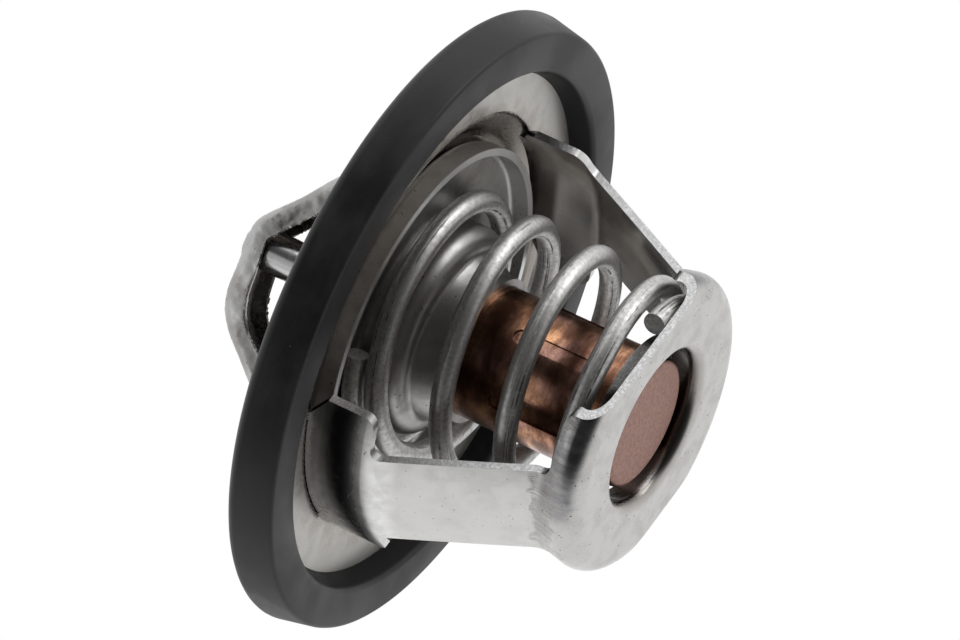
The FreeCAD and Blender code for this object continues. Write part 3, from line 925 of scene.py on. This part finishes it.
def coil_height(turn):
    """Height of the wire after some turns. The first and last turns are almost closed."""
    open_turns = SPRING_TURNS - 2 * CLOSED_TURNS
    open_rise = COIL_TOP - COIL_BOTTOM - 2 * CLOSED_RISE
    if turn <= CLOSED_TURNS:
        return COIL_BOTTOM + CLOSED_RISE * turn / CLOSED_TURNS
    if turn <= CLOSED_TURNS + open_turns:
        return COIL_BOTTOM + CLOSED_RISE + open_rise * (turn - CLOSED_TURNS) / open_turns
    return COIL_TOP - CLOSED_RISE * (SPRING_TURNS - turn) / CLOSED_TURNS


def coil_radius(turn):
    """The coil widens quickly in its first turn, and then slowly towards the disc."""
    in_closed_turn = min(turn / CLOSED_TURNS, 1)
    in_whole_coil = min(turn / (SPRING_TURNS - CLOSED_TURNS), 1)
    widening = CLOSED_WIDENING * in_closed_turn + (1 - CLOSED_WIDENING) * in_whole_coil
    return RING_COIL_RADIUS + (DISC_COIL_RADIUS - RING_COIL_RADIUS) * widening


def coil_point(turn):
    angle = TIP_ANGLE + 2 * math.pi * turn
    radius = coil_radius(turn)
    across = radius * math.cos(angle)
    along = radius * math.sin(angle) + COIL_SHIFT
    return Vector((across, along, coil_height(turn)))


def make_coil_path():
    """The helix as a curve, and its length."""
    count = round(SPRING_TURNS * STEPS_A_TURN)
    shape = bpy.data.curves.new("coil_path", "CURVE")
    shape.dimensions = "3D"
    shape.twist_mode = "Z_UP"
    line = shape.splines.new("POLY")
    line.points.add(count)
    length = 0
    before = None
    for index in range(count + 1):
        here = coil_point(SPRING_TURNS * index / count)
        line.points[index].co = (*here, 1)
        if before is not None:
            length += (here - before).length
        before = here
    path = bpy.data.objects.new("coil_path", shape)
    bpy.context.collection.objects.link(path)
    return path, length


coil_path, WIRE_LENGTH = make_coil_path()
print("wire length", round(WIRE_LENGTH / MM, 1), "mm")

# %% [markdown]
# ## Winding the wire
# The rod is added along X, because the Curve modifier bends along that axis. Its long
# edges are cut in three passes, which gives about five hundred short lengths, enough for
# smooth coils and few enough to stay light.

# %% Wind the wire
WIRE_SIDES = 28
CUT_PASSES = 3
CUTS_A_PASS = 7


def lies_along_rod(first, second):
    return abs(first.x - second.x) > 0.5 * (first - second).length


def wind_spring():
    select_nothing()
    bpy.ops.mesh.primitive_cylinder_add(
        vertices=WIRE_SIDES, radius=WIRE_RADIUS, depth=WIRE_LENGTH, end_fill_type="TRIFAN",
        location=(WIRE_LENGTH / 2, 0, 0), rotation=(0, math.pi / 2, 0),
    )
    wire = bpy.context.object
    wire.name = "coil_spring"
    bpy.ops.object.transform_apply(location=True, rotation=True, scale=True)
    for _ in range(CUT_PASSES):
        select_edges(wire, lies_along_rod)
        bpy.ops.mesh.subdivide(number_cuts=CUTS_A_PASS)
        bpy.ops.object.mode_set(mode="OBJECT")
    apply_modifier(wire, "CURVE", object=coil_path, deform_axis="POS_X")
    bpy.ops.object.shade_smooth_by_angle(angle=math.radians(50))
    return wire


spring = wind_spring()
bpy.data.objects.remove(coil_path)
spring_size = [round(value / MM, 2) for value in spring.dimensions]
print("spring", len(spring.data.polygons), "faces, box", spring_size)

# %% [markdown]
# ## Drawn wire
# Drawing the wire through its die leaves long dark lines and bright streaks along it. They
# follow the wire's own map, stretched far along it, so they turn with every coil.

# %% Drawn wire
WIRE_GREY = (0.56, 0.555, 0.545, 1)
WIRE_SHADE = (0.26, 0.25, 0.24, 1)
WIRE_DARK = (0.07, 0.065, 0.06, 1)
LINE_STRETCH = (8, 11, 1)


def drawn_wire():
    material, tree, shader = new_material("drawn_wire")
    wire_map = add_node(tree, "ShaderNodeUVMap", uv_map="UVMap").outputs["UV"]
    drawn_out = add_node(tree, "ShaderNodeMapping", {"Vector": wire_map, "Scale": LINE_STRETCH})
    dark_line = ramp(tree, noise(tree, drawn_out.outputs["Vector"], 3.0, 5.0, 0.7), 0.56, 0.64)
    broken = ramp(tree, noise(tree, millimetres(tree), 0.8, 4.0), 0.40, 0.55)
    marks = times(tree, dark_line, broken)
    mottled = noise(tree, millimetres(tree), 2.2, 4.0, 0.65)
    colour = mix_colours(tree, ramp(tree, mottled, 0.35, 0.75, 0.0, 0.6), WIRE_GREY, WIRE_SHADE)
    colour = mix_colours(tree, marks, colour, WIRE_DARK)
    rough = plus(tree, ramp(tree, mottled, 0.3, 0.8, 0.38, 0.54), times(tree, marks, 0.2))
    height = maths(tree, "SUBTRACT", times(tree, mottled, 0.4), marks)
    fill_shader(tree, shader, colour, rough, bump(tree, height, 0.06, 0.7))
    return material


spring.data.materials.clear()
spring.data.materials.append(drawn_wire())
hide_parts("main_spring")
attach(spring, "frame")
print("drawn_wire on coil_spring")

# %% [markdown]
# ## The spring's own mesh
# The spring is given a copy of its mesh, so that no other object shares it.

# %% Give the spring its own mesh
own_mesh(spring)

# %% [markdown]
# ## Floor
# The part stands on its end ring, so the floor lies at its lowest point. The picture was
# taken from under that level, so the floor must not hide the part: seen from below it is
# clear, as it is to mirror rays, and it takes shadows without casting any. The world shows
# plain white behind.

# %% Floor
FLOOR_SIZE = 2.4
FLOOR_GAP = 0.05 * MM
FLOOR_LIGHT = (0.80, 0.80, 0.80, 1)
FLOOR_SHADE = (0.74, 0.74, 0.74, 1)


def floor_material():
    material, tree, shader = new_material("pale_floor")
    uneven = ramp(tree, noise(tree, millimetres(tree), 0.02, 2.0), 0.3, 0.7, 0.0, 0.15)
    feed(tree, shader, "Base Color", mix_colours(tree, uneven, FLOOR_LIGHT, FLOOR_SHADE))
    shader.inputs["Roughness"].default_value = 0.7
    clear = add_node(tree, "ShaderNodeBsdfTransparent")
    behind = add_node(tree, "ShaderNodeNewGeometry").outputs["Backfacing"]
    ray = add_node(tree, "ShaderNodeLightPath").outputs
    see_through = maths(tree, "MAXIMUM", behind, ray["Is Shadow Ray"])
    see_through = maths(tree, "MAXIMUM", see_through, ray["Is Glossy Ray"])
    sockets = {0: see_through, 1: shader.outputs[0], 2: clear.outputs[0]}
    mixed = add_node(tree, "ShaderNodeMixShader", sockets)
    tree.links.new(mixed.outputs[0], tree.nodes["Material Output"].inputs["Surface"])
    return material


bpy.ops.mesh.primitive_plane_add(size=FLOOR_SIZE, location=(0, 0, CAD_BOX[0].z - FLOOR_GAP))
floor = bpy.context.object
floor.name = "floor"
bpy.ops.object.transform_apply(location=True)
floor.data.materials.append(floor_material())
print("floor at", round(CAD_BOX[0].z / MM, 2), "mm")

# %% [markdown]
# ## World
# Polished metal shows what stands round it. Here that is a white sweep behind and under the
# part and a dark room round the camera, so the metal gets both bright and dark stretches.
# The camera itself sees plain white.

# %% World
SWEEP_LIGHT = 1.02
ROOM_DARK = 0.06
SWEEP_EDGE = 0.15
ROOM_EDGE = 0.70


def make_world():
    world = bpy.data.worlds.new("studio")
    world.use_nodes = True
    tree = world.node_tree
    tree.nodes.clear()
    direction = add_node(tree, "ShaderNodeTexCoord").outputs["Generated"]
    facing = add_node(
        tree, "ShaderNodeVectorMath", {0: direction, 1: towards_camera}, operation="DOT_PRODUCT",
    )
    light = ramp(tree, facing.outputs["Value"], SWEEP_EDGE, ROOM_EDGE, SWEEP_LIGHT, ROOM_DARK)
    ray = add_node(tree, "ShaderNodeLightPath").outputs
    seen = maths(tree, "MAXIMUM", ray["Is Camera Ray"], ray["Is Transmission Ray"])
    sockets = {"Color": (1, 1, 1, 1), "Strength": mix_values(tree, seen, light, 1.0)}
    sky = add_node(tree, "ShaderNodeBackground", sockets)
    end = add_node(tree, "ShaderNodeOutputWorld")
    tree.links.new(sky.outputs[0], end.inputs["Surface"])
    bpy.context.scene.world = world


make_world()
print("sweep", SWEEP_LIGHT, "room", ROOM_DARK)

# %% [markdown]
# ## Lamps
# Three broad lamps model the shapes: one at the upper right, a wide one above, and a weak
# one at the left that fills the shadows. They are placed by how the camera sees the part,
# as shares of right, up and towards the camera, so they are easy to think about.

# %% Lamps
LAMP_DISTANCE = 0.7


def from_camera(right, up, back):
    """A direction in the picture's own axes, turned into the part's frame."""
    return (picture_right * right + picture_up * up + towards_camera * back).normalized()


def soft_lamp(name, direction, width, height, watts):
    bpy.ops.object.light_add(type="AREA", location=direction * LAMP_DISTANCE)
    lamp = bpy.context.object
    lamp.name = name
    lamp.data.shape = "RECTANGLE"
    lamp.data.size = width
    lamp.data.size_y = height
    lamp.data.energy = watts
    lamp.rotation_euler = direction.to_track_quat("Z", "Y").to_euler()


soft_lamp("key_lamp", from_camera(0.70, 0.70, 0.15), width=0.35, height=0.35, watts=1.3)
soft_lamp("top_lamp", from_camera(-0.15, 1.0, 0.1), width=0.8, height=0.6, watts=1.2)
soft_lamp("left_lamp", from_camera(-0.85, -0.05, 0.55), width=0.5, height=0.5, watts=0.35)

# %% [markdown]
# ## Finish
# The view transform is Standard, so a colour comes out about as it is written. Dressing
# must not make the part larger.

# %% Finish
bpy.context.scene.view_settings.view_transform = "Standard"
